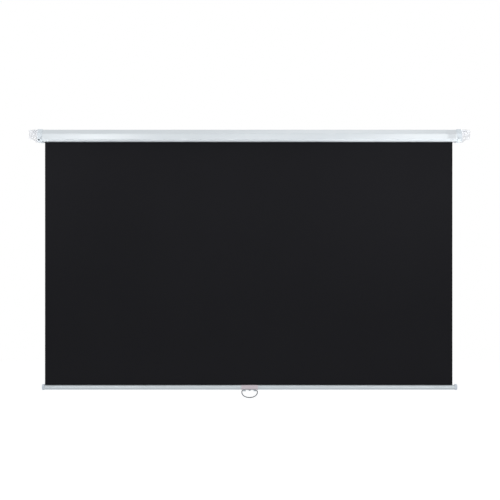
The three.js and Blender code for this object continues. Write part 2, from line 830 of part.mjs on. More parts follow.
function addBar(screen) {
  const bar = groupAt(screen, 0, sheetY, barZ);
  piece(bar, 'bar_tube', barTube(), barPaint);
  piece(bar, 'bar_cap_left', barCap(-1), barMoulding);
  piece(bar, 'bar_cap_right', barCap(1), barMoulding);
  const hemLeft = sheetOffset - sheetWidth / 2;
  const hemGroup = groupAt(bar, 0, 0, hemRise);
  piece(hemGroup, 'hem_rod', rod(hemRodRadius, hemLeft, hemLeft + sheetWidth), nylon);
  const hem = pipe(hemRadius, hemRodRadius + fitGap, hemLeft, hemLeft + sheetWidth, midSides);
  piece(hemGroup, 'sheet_hem', hem, screenCloth);
  piece(bar, 'handle_band', handleBand(), roseFilm);
  piece(bar, 'handle_saddle', handleSaddle(), plainSteel);
  const screw = piece(bar, 'saddle_screw', screwShape(saddleScrew, midSides), plainSteel);
  screw.position.z = -saddleRadius - fitGap;
  screw.rotation.x = Math.PI;
  piece(bar, 'saddle_nut', saddleNut(), plainSteel);
  piece(groupAt(bar, 0, 0, -knuckleDrop), 'pull_ring', pullRing(), wireSteel);
}

const screen = new THREE.Group();
addHousing(screen);
addFixedAxle(screen);
addRoller(screen);
addSheet(screen);
addBar(screen);

export default screen;
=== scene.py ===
# %% [markdown]
# # A pull-down projector screen
#
# The object is a dark screen sheet that hangs from a long white case and is kept flat by a round
# bar. This lesson dresses its engineering model: the frame holds every solid at its real size and
# place, and each cell below gives one of them its fine surface or its finish. Everything is in
# metres. X runs along the case to the viewer's right, Y goes into the wall and Z is up.

# %% Load the frame
import math

import bmesh
import bpy
import numpy as np
from mathutils import Matrix, Vector


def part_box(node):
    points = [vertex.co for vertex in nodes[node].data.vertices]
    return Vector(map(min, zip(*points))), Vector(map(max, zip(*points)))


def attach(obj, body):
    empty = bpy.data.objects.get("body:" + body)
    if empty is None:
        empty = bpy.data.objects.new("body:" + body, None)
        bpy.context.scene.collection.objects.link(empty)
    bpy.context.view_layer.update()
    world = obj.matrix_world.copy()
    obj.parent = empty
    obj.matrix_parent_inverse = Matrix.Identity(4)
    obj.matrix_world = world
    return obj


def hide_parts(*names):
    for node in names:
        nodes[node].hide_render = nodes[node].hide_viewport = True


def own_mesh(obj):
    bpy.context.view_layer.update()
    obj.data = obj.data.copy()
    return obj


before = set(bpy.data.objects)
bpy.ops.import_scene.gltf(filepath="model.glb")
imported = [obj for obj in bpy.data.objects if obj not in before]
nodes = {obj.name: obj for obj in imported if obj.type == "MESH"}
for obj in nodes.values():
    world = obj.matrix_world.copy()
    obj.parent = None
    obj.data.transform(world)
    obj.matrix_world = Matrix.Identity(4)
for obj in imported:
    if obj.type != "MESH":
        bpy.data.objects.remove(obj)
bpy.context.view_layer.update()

MM = 0.001

# %% [markdown]
# ## Camera
#
# The photograph was taken square on, from 4.5 m in front of the sheet and 0.64 m below the middle
# of the case. Its focal length is 800.7 pixels in a frame of 500, which on a 36 mm sensor is a
# lens of 57.7 mm. The case and the bar are level in the picture, so the camera doesn't lean.

# %% Camera
FOCAL_PIXELS = 800.7
FRAME_PIXELS = 500
SENSOR = 36.0
CAMERA_PLACE = (2.2 * MM, -4516 * MM, -638.6 * MM)

camera_data = bpy.data.cameras.new("camera")
camera_data.sensor_width = SENSOR
camera_data.lens = SENSOR * FOCAL_PIXELS / FRAME_PIXELS
camera_data.clip_end = 60
camera = bpy.data.objects.new("camera", camera_data)
bpy.context.scene.collection.objects.link(camera)
level_view = Matrix.Rotation(math.radians(90), 4, "X")
camera.matrix_world = Matrix.Translation(CAMERA_PLACE) @ level_view
bpy.context.scene.camera = camera
print(f"lens {camera_data.lens:.1f} mm")

# %% [markdown]
# ## From numbers to a mesh
#
# Almost every piece here is either a strip of metal, film or cloth carried along X, or a profile
# turned round an axis. Both are grids of points, so one function numbers the quads of a grid and
# one turns points and quads into an object. Poles and seams are closed by merging the points that
# lie on each other, and the normals are then made to face out.

# %% Grids of quads
def grid_quads(rows, columns, rows_meet=False, columns_meet=False):
    """The corners of each quad of a grid. The point in row i and column j has the number
    i times columns plus j. If rows_meet, the last row joins the first, and so for the columns."""
    i = np.arange(rows if rows_meet else rows - 1)[:, None]
    j = np.arange(columns if columns_meet else columns - 1)[None, :]
    next_row = (i + 1) % rows * columns
    next_column = (j + 1) % columns
    here = i * columns
    corners = np.broadcast_arrays(
        here + j, here + next_column, next_row + next_column, next_row + j)
    return np.stack(corners, axis=-1).reshape(-1, 4)


def make_piece(name, points, quads, body, finish, stands_for=(), sharp=30):
    """An object of the given points and quads that rides on a body. Points closer than a
    thousandth of a millimetre are merged, and edges sharper than `sharp` degrees stay crisp."""
    mesh = bpy.data.meshes.new(name)
    mesh.from_pydata(np.reshape(points, (-1, 3)).tolist(), [], np.asarray(quads).tolist())
    work = bmesh.new()
    work.from_mesh(mesh)
    bmesh.ops.remove_doubles(work, verts=work.verts, dist=0.001 * MM)
    bmesh.ops.recalc_face_normals(work, faces=work.faces)
    work.to_mesh(mesh)
    work.free()
    mesh.shade_smooth()
    mesh.set_sharp_from_angle(angle=math.radians(sharp))
    mesh.materials.append(finish)
    piece = bpy.data.objects.new(name, mesh)
    bpy.context.scene.collection.objects.link(piece)
    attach(piece, body)
    if stands_for:
        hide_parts(*stands_for)
    print(f"{name}: {len(mesh.polygons)} faces")
    return piece


def merged(*parts):
    """Several pairs of points and quads as one pair, with the later quads numbered on."""
    points, quads, count = [], [], 0
    for some_points, some_quads in parts:
        flat = np.reshape(some_points, (-1, 3))
        points.append(flat)
        quads.append(some_quads + count)
        count += len(flat)
    return np.concatenate(points), np.concatenate(quads)


# %% [markdown]
# ## Strips
#
# Sheet metal, film and cloth have one thickness everywhere, so one open line in Y and Z says all
# about their section. A folded corner isn't sharp: the press bends it round a small radius. The
# bend is a quadratic curve that leaves one side of the corner and joins the other.

# %% Lines in Y and Z
def arc(centre, radius, from_degrees, to_degrees, steps):
    """Points at even angles on a circle: the centre plus the radius times cosine and sine."""
    angle = np.radians(np.linspace(from_degrees, to_degrees, steps + 1))
    return np.asarray(centre) + radius * np.stack([np.cos(angle), np.sin(angle)], axis=1)


def soften(corners, reach, steps=6):
    """The line through some corners, each bent over a reach on both sides: for t from 0 to 1 the
    point is (1-t) squared times the start, 2t(1-t) times the corner and t squared times the end."""
    corners = np.asarray(corners, float)
    before = np.roll(corners, 1, axis=0) - corners
    after = np.roll(corners, -1, axis=0) - corners
    before[0] = after[-1] = 0
    share = [np.divide(reach, np.linalg.norm(v, axis=1), out=np.zeros(len(v)),
                       where=np.linalg.norm(v, axis=1) > 0)[:, None] for v in (before, after)]
    start, end = corners + before * share[0], corners + after * share[1]
    start[0], end[0] = corners[0], corners[0]
    start[-1], end[-1] = corners[-1], corners[-1]
    t = np.linspace(0, 1, steps + 1)[None, :, None]
    start, corners, end = start[:, None], corners[:, None], end[:, None]
    line = (1 - t) ** 2 * start + 2 * t * (1 - t) * corners + t ** 2 * end
    line = line.reshape(-1, 2)
    apart = np.linalg.norm(np.diff(line, axis=0), axis=1) > 1e-9
    return line[np.r_[True, apart]]


def move_left(line, distance):
    """The line moved to its left: each point goes along the mean of the normals beside it, far
    enough that the straight runs keep the distance."""
    step = np.diff(line, axis=0)
    normal = np.stack([-step[:, 1], step[:, 0]], axis=1) / np.linalg.norm(step, axis=1)[:, None]
    mean = np.vstack([normal[:1], normal]) + np.vstack([normal, normal[-1:]])
    return line + 2 * distance * mean / (mean ** 2).sum(axis=1)[:, None]


def strip_along_x(line, thickness, stations, window=(0, 0)):
    """A line in Y and Z, its copy at the strip's thickness to the left, and both carried along X
    through the stations. Ladders of quads between the two lines close the ends. A window leaves
    out the strip between the first two stations and two points of the line, and closes its rim
    with the ladder behind it and one quad at each of the two points."""
    section = np.vstack([line, move_left(line, thickness)[::-1]])
    count = len(section)
    points = np.empty((len(stations), count, 3))
    points[:, :, 0] = np.asarray(stations)[:, None]
    points[:, :, 1:] = section
    rung = np.arange(len(line) - 1)
    ladder = np.stack([rung, rung + 1, count - 2 - rung, count - 1 - rung], axis=1)
    sides = grid_quads(len(stations), count, columns_meet=True)
    first, last = window
    away = np.zeros(len(sides), bool)
    away[first:last] = away[count - 1 - last:count - 1 - first] = last > first
    behind = (rung >= first) & (rung < last)
    jamb = np.array([first, last] if last > first else [], int)
    rim = np.stack([jamb, jamb + count, 2 * count - 1 - jamb, count - 1 - jamb], axis=1)
    return points, np.concatenate([
        sides[~away], ladder[~behind], ladder[behind] + count, rim,
        ladder + (len(stations) - 1) * count])


# %% [markdown]
# ## Turned shapes and wires
#
# A knuckle, a bush or a screw is a profile turned round an axis. A wire is a circle carried along
# a path: at each point the circle stands square to the path, and a half ball closes each end.

# %% Turning and sweeping
def turned_on_x(profile, centre, sides):
    """A profile of X and radius turned round a line parallel to X: Y and Z are the centre plus
    the radius times cosine and sine. The first and last row are joined, so the profile is closed
    on itself or starts and ends on the axis."""
    angle = np.linspace(0, 2 * np.pi, sides, endpoint=False)
    x, radius = np.asarray(profile, float).T[:, :, None]
    points = np.stack(np.broadcast_arrays(
        x, centre[0] + radius * np.cos(angle), centre[1] + radius * np.sin(angle)), axis=-1)
    return points, grid_quads(len(profile), sides, rows_meet=True, columns_meet=True)


def evenly(path, spacing):
    """The path's points at even distances along it."""
    along = np.r_[0, np.cumsum(np.linalg.norm(np.diff(path, axis=0), axis=1))]
    wanted = np.linspace(0, along[-1], max(3, int(along[-1] / spacing)))
    return np.stack([np.interp(wanted, along, column) for column in path.T], axis=1)


def wire_along(path, beside, radius, sides):
    """A circle of the radius square to the path at each point. One of its axes is the direction
    `beside`, made square to the path. At each end the circle shrinks as the cosine of an angle
    while it goes on by the sine, which is a half ball."""
    along = np.gradient(path, axis=0)
    along /= np.linalg.norm(along, axis=1)[:, None]
    beside = beside - (beside * along).sum(axis=1)[:, None] * along
    beside /= np.linalg.norm(beside, axis=1)[:, None]
    across = np.cross(along, beside)
    angle = np.linspace(0, 2 * np.pi, sides, endpoint=False)[None, :, None]
    spoke = beside[:, None] * np.cos(angle) + across[:, None] * np.sin(angle)
    turn = np.linspace(np.pi / 2, 0, 6)[:-1, None, None]
    body = path[:, None] + radius * spoke
    start = path[:1, None] + radius * (spoke[:1] * np.cos(turn) - along[:1, None] * np.sin(turn))
    end = path[-1:, None] + radius * (spoke[-1:] * np.cos(turn) + along[-1:, None] * np.sin(turn))
    points = np.concatenate([start, body, end[::-1]])
    return points, grid_quads(len(points), sides, columns_meet=True)


# %% [markdown]
# ## Finishes
#
# Each finish is a small node tree that reads Object coordinates, which are metres on every piece,
# so a pattern's size is a real size: a noise of scale 1 over 2 mm has grains of about 2 mm. Colours
# are written as sRGB hex, as a paint chart gives them, and one function turns them to linear.

# %% Node helpers
def linear(hex_colour):
    """sRGB hex as linear red, green, blue and alpha: a level up to 0.04045 is divided by 12.92,
    and any other goes through the power of 2.4."""
    level = np.array([int(hex_colour[i:i + 2], 16) for i in (1, 3, 5)]) / 255
    value = np.where(level <= 0.04045, level / 12.92, ((level + 0.055) / 1.055) ** 2.4)
    return (*value.tolist(), 1.0)


def add_node(material, kind, inputs=(), **settings):
    """A node of a kind, with its settings, and each input set to a value or linked to a socket."""
    node = material.node_tree.nodes.new(kind)
    for name, value in settings.items():
        setattr(node, name, value)
    for name, value in dict(inputs).items():
        if isinstance(value, bpy.types.NodeSocket):
            material.node_tree.links.new(value, node.inputs[name])
        else:
            node.inputs[name].default_value = value
    return node


def finish_of(name, hex_colour, second_hex, patch, grain, depth, **shader):
    """A finish with two close colours that change over patches of one size in metres, and a fine
    relief whose grains have another size and depth. The rest are the shader's own sockets."""
    material = bpy.data.materials.new(name)
    material.use_nodes = True
    principled = material.node_tree.nodes["Principled BSDF"]
    place = add_node(material, "ShaderNodeTexCoord").outputs["Object"]
    clouds = add_node(material, "ShaderNodeTexNoise",
                      {"Vector": place, "Scale": 1 / patch, "Detail": 3.0})
    colour = add_node(material, "ShaderNodeMix", data_type="RGBA")
    grains = add_node(material, "ShaderNodeTexNoise",
                      {"Vector": place, "Scale": 1 / grain, "Detail": 2.0})
    bump = add_node(material, "ShaderNodeBump",
                    {"Height": grains.outputs["Fac"], "Distance": depth, "Strength": 1.0})
    links = material.node_tree.links
    links.new(clouds.outputs["Fac"], colour.inputs["Factor"])
    colour_sockets = [s for s in colour.inputs if s.type == "RGBA"]
    colour_sockets[0].default_value = linear(hex_colour)
    colour_sockets[1].default_value = linear(second_hex)
    mixed = [s for s in colour.outputs if s.type == "RGBA"][0]
    links.new(mixed, principled.inputs["Base Color"])
    links.new(bump.outputs["Normal"], principled.inputs["Normal"])
    for socket, value in shader.items():
        principled.inputs[socket.replace("_", " ")].default_value = value
    return material


# %% [markdown]
# ## The finishes of this screen
#
# - The case is cold-rolled steel with a gloss polyester powder coat, baked until it flows almost
#   flat. What is left is an orange peel about 2 mm wide, which breaks up reflections. The powder
#   doesn't reach inside, where the sheet keeps its thin grey primer. That grey is made darker than
#   a primer, as painted shade for the dim inside of the closed case.
# - The collars and brackets are ABS, moulded in a tool with a fine spark-eroded grain.
# - The sheet is a dark vinyl-coated glass cloth. It is matt, and its threads are too fine to show.
# - The bar is steel tube with a satin silver coat, its sleeves are blue-grey ABS.
# - Small metal parts are zinc plated, the pull ring is nickel plated wire. Its colour is a dark
#   grey,
#   far below bright nickel: painted shade that keeps the thin ring dark against the white around
#       it.

# %% Finishes
case_paint = finish_of("gloss_powder_coat", "#dde3e7", "#d7dee3", 60 * MM, 2 * MM, 0.004 * MM,
                       Roughness=0.24)
# The inside's grey is darker than a primer would be: painted shade for the closed case.
primer_and_painted_shade = finish_of("grey_primer_and_painted_shade", "#7c8184", "#74797c", 30 * MM, 1 * MM, 0.004 * MM,
                        Roughness=0.6)
collar_abs = finish_of("moulded_abs_cool", "#e0e8ee", "#dae3ea", 30 * MM, 0.8 * MM, 0.01 * MM,
                       Roughness=0.42)
bracket_abs = finish_of("moulded_abs_white", "#f1f2f4", "#ebecef", 30 * MM, 0.8 * MM, 0.01 * MM,
                        Roughness=0.45)
screen_vinyl = finish_of("coated_glass_cloth", "#1c1c1f", "#1e1e21", 250 * MM, 0.9 * MM, 0.02 * MM,
                         Roughness=0.9, Specular_IOR_Level=0.08)
bar_coat = finish_of("satin_silver_coat", "#c9d0d4", "#c2cacf", 80 * MM, 1.5 * MM, 0.004 * MM,
                     Roughness=0.3, Metallic=0.35)
sleeve_abs = finish_of("moulded_abs_blue_grey", "#d8e0ea", "#d1d9e3", 25 * MM, 0.8 * MM, 0.01 * MM,
                       Roughness=0.45)
badge_film = finish_of("printed_film_grey", "#dce1e5", "#d7dce0", 20 * MM, 0.7 * MM, 0.004 * MM,
                       Roughness=0.5)
band_film = finish_of("satin_film_rose_grey", "#d6cbd1", "#cfc4cb", 25 * MM, 0.7 * MM, 0.004 * MM,
                      Roughness=0.42)
zinc_plate = finish_of("zinc_plated_steel", "#b3b8bc", "#a7adb2", 6 * MM, 0.9 * MM, 0.006 * MM,
                       Roughness=0.36, Metallic=1.0)
# The nickel's colour is darkened to a mid grey: painted shade on the pull ring.
nickel_painted_dark = finish_of("nickel_wire_painted_dark", "#626467", "#5b5d60", 12 * MM, 1.0 * MM, 0.003 * MM,
                        Roughness=0.22, Metallic=1.0)
spring_steel = finish_of("oiled_spring_steel", "#6d7076", "#5f6268", 9 * MM, 0.8 * MM, 0.005 * MM,
                         Roughness=0.34, Metallic=1.0)
mill_aluminium = finish_of("mill_finish_aluminium", "#c9cccf", "#bfc3c6", 40 * MM, 1.2 * MM,
                           0.005 * MM, Roughness=0.35, Metallic=1.0)
nylon = finish_of("moulded_nylon", "#dedcd2", "#d6d4c9", 15 * MM, 0.9 * MM, 0.008 * MM,
                  Roughness=0.5)
black_abs = finish_of("moulded_abs_black", "#2c2d30", "#27282b", 15 * MM, 0.8 * MM, 0.01 * MM,
                      Roughness=0.5)
print(f"{len(bpy.data.materials)} materials")

# %% [markdown]
# ## Pieces that keep their engineering shape
#
# The collars, brackets and everything inside already have their real shape. They only need their
# finish. The ones that show also get a small round along each sharp edge, because a moulding has
# no knife edges and the light that catches them tells the eye that they are there. The solid's
# triangles are welded and its flat faces joined first, so that only real edges are rounded.

# %% Finishes for the kept nodes
kept_finishes = {
    "end_cap_left": collar_abs,
    "end_cap_right": collar_abs,
    "bracket_left": bracket_abs,
    "bracket_right": bracket_abs,
    "spindle": zinc_plate,
    "ratchet_cam": zinc_plate,
    "pawl_a": zinc_plate,
    "pawl_b": zinc_plate,
    "pawl_pin_a": zinc_plate,
    "pawl_pin_b": zinc_plate,
    "idler_pin": zinc_plate,
    "saddle_nut": zinc_plate,
    "idler_bush": nylon,
    "spring_anchor": nylon,
    "spring_drive_plug": nylon,
    "hem_rod": nylon,
    "roller_plug_left": black_abs,
    "roller_plug_right": black_abs,
    "roller_tube": mill_aluminium,
}
for node, finish in kept_finishes.items():
    nodes[node].data.materials.clear()
    nodes[node].data.materials.append(finish)
print(f"{len(kept_finishes)} nodes keep their shape")

# %% Rounded edges on the mouldings
for node in ("end_cap_left", "end_cap_right", "bracket_left", "bracket_right"):
    weld = nodes[node].modifiers.new("weld", "WELD")
    weld.merge_threshold = 0.005 * MM
    flat = nodes[node].modifiers.new("flat_faces", "DECIMATE")
    flat.decimate_type = "DISSOLVE"
    flat.angle_limit = math.radians(1)
    rounds = nodes[node].modifiers.new("rounds", "BEVEL")
    rounds.width = 0.5 * MM
    rounds.segments = 2
    rounds.limit_method = "ANGLE"
    rounds.angle_limit = math.radians(40)
    rounds.harden_normals = False

# %% [markdown]
# ## Case
#
# One strip of steel 1.2 mm thick, folded eight times: up from the slot's rear lip, along the back,
# over the top, down the sloping front and back to the front lip. A press brake leaves bends of a
# few millimetres, so the corners are softened before the strip gets its thickness. At the ratchet
# end a notch is cut out of its lower front corner, behind the window in the collar. A face is
# inside where its normal, seen along X, points back to the section's middle: where the product of
# the two, added up over Y and Z, is below nothing.

# %% Case
case_low, case_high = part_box("case_shell")
top, foot, face = case_high.z, case_low.z, case_low.y
rear_lip, front_lip = -8 * MM, -24 * MM
lip_height, case_wall, case_bend = 5 * MM, 1.2 * MM, 1.6 * MM
slope_depth, slope_drop = 20 * MM, 24.5 * MM
foot_depth, foot_rise = 12 * MM, 10 * MM
notch_top, notch_foot = (face, foot + 14 * MM), (face + 8.4 * MM, foot + 3 * MM)
notch_reach = 15.5 * MM
case_corners = [
    (rear_lip, foot + lip_height),
    (rear_lip, foot),
    (0, foot),
    (0, top),
    (face + slope_depth, top),
    (face, top - slope_drop),
    notch_top,
    (face, foot + foot_rise),
    notch_foot,
    (face + foot_depth, foot),
    (front_lip, foot),
    (front_lip, foot + lip_height),
]
case_line = soften(case_corners, case_bend)
notch = [int(np.linalg.norm(case_line - corner, axis=1).argmin())
         for corner in (notch_top, notch_foot)]
notch_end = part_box("end_cap_left")[0].x + notch_reach
case_points, case_quads = strip_along_x(
    case_line, case_wall, [case_low.x, notch_end, case_high.x], notch)
case = make_piece("case_steel", case_points, case_quads, "housing", case_paint,
                  ["case_shell"])

# %% Primer and painted shade inside the case
# The inside faces get the dark grey, which is primer and painted shade for the dim inside.
case.data.materials.append(primer_and_painted_shade)
faces = case.data.polygons
face_middle, face_normal = np.empty((2, 3 * len(faces)))
faces.foreach_get("center", face_middle)
faces.foreach_get("normal", face_normal)
from_middle = face_middle.reshape(-1, 3) - [0, face / 2, (top + foot) / 2]
outward = (from_middle * face_normal.reshape(-1, 3))[:, 1:].sum(axis=1)
faces.foreach_set("material_index", (outward < 0).astype(np.int32))
print(f"{(outward < 0).sum()} of {len(faces)} faces keep their primer")

# %% [markdown]
# ## Badge
#
# A film folded over the upper edge of the case's front, with rounded corners. The grid's rows go
# down the film and its columns go across. Near the ends each row is drawn in by the round corner:
# the radius less the root of the radius squared minus the distance into the corner squared.

# %% Badge
badge_low, badge_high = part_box("case_badge")
film_rise, film_bend, film_gap, film_thickness = 16 * MM, 2.5 * MM, 0.3 * MM, 0.5 * MM
film_rows, film_columns = 61, 25
edge = np.array([face, top - slope_drop])
slope = np.array([slope_depth, slope_drop])
badge_corners = [
    (edge[0], badge_low.z),
    tuple(edge),
    tuple(edge + slope * (film_rise / slope_drop)),
]
badge_line = move_left(soften(badge_corners, film_bend, 12), film_gap)
along = np.r_[0, np.cumsum(np.linalg.norm(np.diff(badge_line, axis=0), axis=1))]
rows = np.linspace(0, along[-1], film_rows)
film_line = np.stack([np.interp(rows, along, column) for column in badge_line.T], axis=1)
corner_radius = 4 * MM
past_corner = np.abs(rows - along[-1] / 2) - (along[-1] / 2 - corner_radius)
into_corner = np.clip(past_corner, 0, corner_radius)
drawn_in = corner_radius - np.sqrt(corner_radius ** 2 - into_corner ** 2)
middle = (badge_low.x + badge_high.x) / 2
half = (badge_high.x - badge_low.x) / 2 - drawn_in
badge_points = np.empty((film_rows, film_columns, 3))
badge_points[:, :, 0] = middle + half[:, None] * np.linspace(-1, 1, film_columns)
badge_points[:, :, 1:] = film_line[:, None]
badge = make_piece("badge_film", badge_points, grid_quads(film_rows, film_columns), "housing",
                   badge_film, ["case_badge"])
thickness = badge.modifiers.new("thickness", "SOLIDIFY")
thickness.thickness = film_thickness
thickness.offset = 1 if badge.data.polygons[0].normal.y < 0 else -1

# %% [markdown]
# ## Screws
#
# A pan head with a cross recess. The head is a polar grid: each ring's height is a dome, less the
# depth of the recess where the point lies within half a slot's width of either axis of the cross
# and not past its arms. The shank follows the same grid down to a point.

# %% Screws
def screw_points(head, crown, shank, length, sides=96):
    """Rings from the middle of the head to the tip. The dome's height is the crown times the root
    of 1 minus the square of the radius over the head's; the cross goes 55% of the crown deep."""
    angle = np.linspace(0, 2 * np.pi, sides, endpoint=False)
    ring = np.linspace(0, 0.98, 32)[:, None] * head
    x, y = ring * np.cos(angle), ring * np.sin(angle)
    dome = crown * (0.25 + 0.75 * np.sqrt(1 - (ring / head) ** 2))
    slot_edge = np.clip((0.13 * head - np.minimum(np.abs(x), np.abs(y))) / (0.05 * head), 0, 1)
    arm_end = np.clip((0.58 * head - np.maximum(np.abs(x), np.abs(y))) / (0.08 * head), 0, 1)
    top_rings = np.stack([x, y, dome - 0.55 * crown * slot_edge * arm_end], axis=-1)
    below = [(head, 0.12 * crown), (head, 0.03 * crown), (0.97 * head, 0), (shank, 0),
             (shank, shank - length), (0.5 * shank, -length), (0, -length)]
    radius, height = np.array(below).T[:, :, None]
    lower_rings = np.stack(np.broadcast_arrays(
        radius * np.cos(angle), radius * np.sin(angle), height), axis=-1)
    return np.concatenate([top_rings, lower_rings])


def drive_screw(node, outward, size, body):
    """A screw where the node is, with its head towards `outward`, an axis of the frame. Its size
    is the head's radius, the crown's height, the shank's radius and the length below the head."""
    low, high = (np.array(corner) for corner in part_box(node))
    outward = np.array(outward, float)
    points = screw_points(*size)
    turn = np.array(Vector((0, 0, 1)).rotation_difference(Vector(outward)).to_matrix())
    head_top = np.where(outward > 0, high, np.where(outward < 0, low, (low + high) / 2))
    placed = points @ turn.T + head_top - outward * size[1]
    quads = grid_quads(len(points), points.shape[1], columns_meet=True)
    make_piece(node + "_driven", placed, quads, body, zinc_plate, [node], sharp=40)


cap_screw = (3 * MM, 1.8 * MM, 1.5 * MM, 8 * MM)
bracket_screw = (3.6 * MM, 2.2 * MM, 1.9 * MM, 9 * MM)
saddle_screw = (6.5 * MM, 3.5 * MM, 2.2 * MM, 9.5 * MM)
for side, out in (("left", -1), ("right", 1)):
    drive_screw(f"cap_screw_{side}_front", (0, -1, 0), cap_screw, "housing")
    drive_screw(f"cap_screw_{side}_foot", (0, 0, -1), cap_screw, "housing")
    drive_screw(f"bracket_screw_{side}_upper", (out, 0, 0), bracket_screw, "housing")
    drive_screw(f"bracket_screw_{side}_lower", (out, 0, 0), bracket_screw, "housing")
drive_screw("saddle_screw", (0, 0, -1), saddle_screw, "bar")

# %% [markdown]
# ## Roller spring
#
# The spring is a helix of wire with a short straight lead at each end: X grows evenly with the
# angle, and Y and Z are the coil's radius times its cosine and sine. The wire's circle keeps one
# axis pointing away from the coil's middle line, so it doesn't twist.

# %% Roller spring
spring_low, spring_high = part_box("roller_spring")
coil_radius, spring_wire, lead, step = 12 * MM, 1.5 * MM, 3 * MM, 3 * MM
turns, steps_per_turn = 40, 24
roller_y = -38.025 * MM
angle = np.linspace(0, 2 * np.pi * turns, turns * steps_per_turn + 1)
coil = np.stack([
    np.interp(angle, [0, angle[-1]], [spring_low.x + lead, spring_high.x - lead]),
    roller_y + coil_radius * np.cos(angle),
    coil_radius * np.sin(angle),
], axis=1)
ends = [[spring_low.x + spring_wire, coil[0, 1], 0], [spring_high.x - spring_wire, coil[-1, 1], 0]]
spring_path = evenly(np.vstack([ends[0], coil, ends[1]]), step)
away = spring_path - [0, roller_y, 0]
away[:, 0] = 0
spring_points, spring_quads = wire_along(spring_path, away, spring_wire, 10)
make_piece("coil_spring", spring_points, spring_quads, "housing", spring_steel,
           ["roller_spring"])

# %% [markdown]
# ## Screen sheet
#
# The sheet is cut flat and hangs from the roller's rear, so under the bar's weight it is almost a
# plane. A real one still isn't a mirror: it has swells of a few tenths of a millimetre between the
# middle and the sides, and its two cut edges curl back by about a millimetre. Both fade out where
# the roller and the bar hold it. Solidify gives the cloth its 0.45 mm.

# %% Screen sheet
sheet_low, sheet_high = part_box("screen_sheet")
sheet_y = (sheet_low.y + sheet_high.y) / 2
cloth_thickness = sheet_high.y - sheet_low.y
cloth_rows, cloth_columns = 113, 181
swell_height, swell_width, swell_length, swell_start = 0.25 * MM, 0.61, 1.7, 1.3
curl_height, curl_reach = 1.0 * MM, 14 * MM
across, down = np.meshgrid(np.linspace(sheet_low.x, sheet_high.x, cloth_columns),
                           np.linspace(sheet_high.z, sheet_low.z, cloth_rows))
held = np.sin(np.pi * (sheet_high.z - down) / (sheet_high.z - sheet_low.z))
swell = (swell_height * np.sin(2 * np.pi * across / swell_width + swell_start)
         * np.cos(2 * np.pi * down / swell_length))
to_edge = np.minimum(across - sheet_low.x, sheet_high.x - across)
curl = curl_height * np.exp(-to_edge / curl_reach)
sheet_points = np.stack([across, sheet_y + held * (swell + curl), down], axis=-1)
sheet = make_piece("sheet_cloth", sheet_points, grid_quads(cloth_rows, cloth_columns), "housing",
                   screen_vinyl, ["screen_sheet"])
cloth = sheet.modifiers.new("cloth_thickness", "SOLIDIFY")
cloth.thickness = cloth_thickness
cloth.offset = 0

# %% [markdown]
# ## Turns on the roller and hem
#
# The sheet's top end stays wound on the roller: a spiral whose radius falls by a little more than
# one thickness each turn. At the bottom the cloth is welded round a rod, which hangs the bar by
# the lips of its slot. Both are strips of cloth carried along X.

# %% Turns and hem
wraps_low, wraps_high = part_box("sheet_wraps")
wound_radius = (wraps_high.z - wraps_low.z) / 2
turns_left, fall_per_turn, hem_thickness = 1.4, 0.5 * MM, 0.55 * MM
turn = np.linspace(0, turns_left * 2 * np.pi, 180)
spiral_radius = wound_radius - fall_per_turn * turn / (2 * np.pi)
spiral = np.stack([roller_y + spiral_radius * np.cos(turn), spiral_radius * np.sin(turn)], axis=1)
wraps_points, wraps_quads = strip_along_x(spiral, cloth_thickness, [wraps_low.x, wraps_high.x])
wraps = make_piece("sheet_turns", wraps_points, wraps_quads, "roller", screen_vinyl,
                   ["sheet_wraps"])

hem_low, hem_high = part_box("sheet_hem")
hem_centre = [(hem_low.y + hem_high.y) / 2, (hem_low.z + hem_high.z) / 2]
hem_line = arc(hem_centre, (hem_high.z - hem_low.z) / 2, 94, 446, 72)
hem_points, hem_quads = strip_along_x(hem_line, hem_thickness, [hem_low.x, hem_high.x])
hem = make_piece("sheet_hem_fold", hem_points, hem_quads, "bar", screen_vinyl,
                 ["sheet_hem"])

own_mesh(sheet)

# %% [markdown]
# ## Bar
#
# The bar is a steel tube with a slot along its top, drawn here as an open circle of metal. The
# small sleeves over its ends are D-shaped: round below, with a flat top and round shoulders, and
# rounded towards the end face. Their outline is a radius for each angle, so a ring of it can be
# drawn in evenly to make that round.

# %% Bar tube
tube_low, tube_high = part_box("bar_tube")
bar_y, bar_radius = (tube_low.y + tube_high.y) / 2, (tube_high.y - tube_low.y) / 2
bar_z = tube_low.z + bar_radius
half_slot, tube_wall = 2 * MM, 1.5 * MM
slot_edge = math.degrees(math.asin(half_slot / bar_radius))
tube_line = arc((bar_y, bar_z), bar_radius, 90 + slot_edge, 450 - slot_edge, 144)
tube_points, tube_quads = strip_along_x(tube_line, tube_wall, [tube_low.x, tube_high.x])
make_piece("bar_steel", tube_points, tube_quads, "bar", bar_coat, ["bar_tube"])

# %% Bar sleeves
sleeve_corner, sleeve_bore, sleeve_end_wall = 8 * MM, 13.5 * MM, 3 * MM
end_round, mouth_round = 2.5 * MM, 0.4 * MM
sleeve_sides = 128


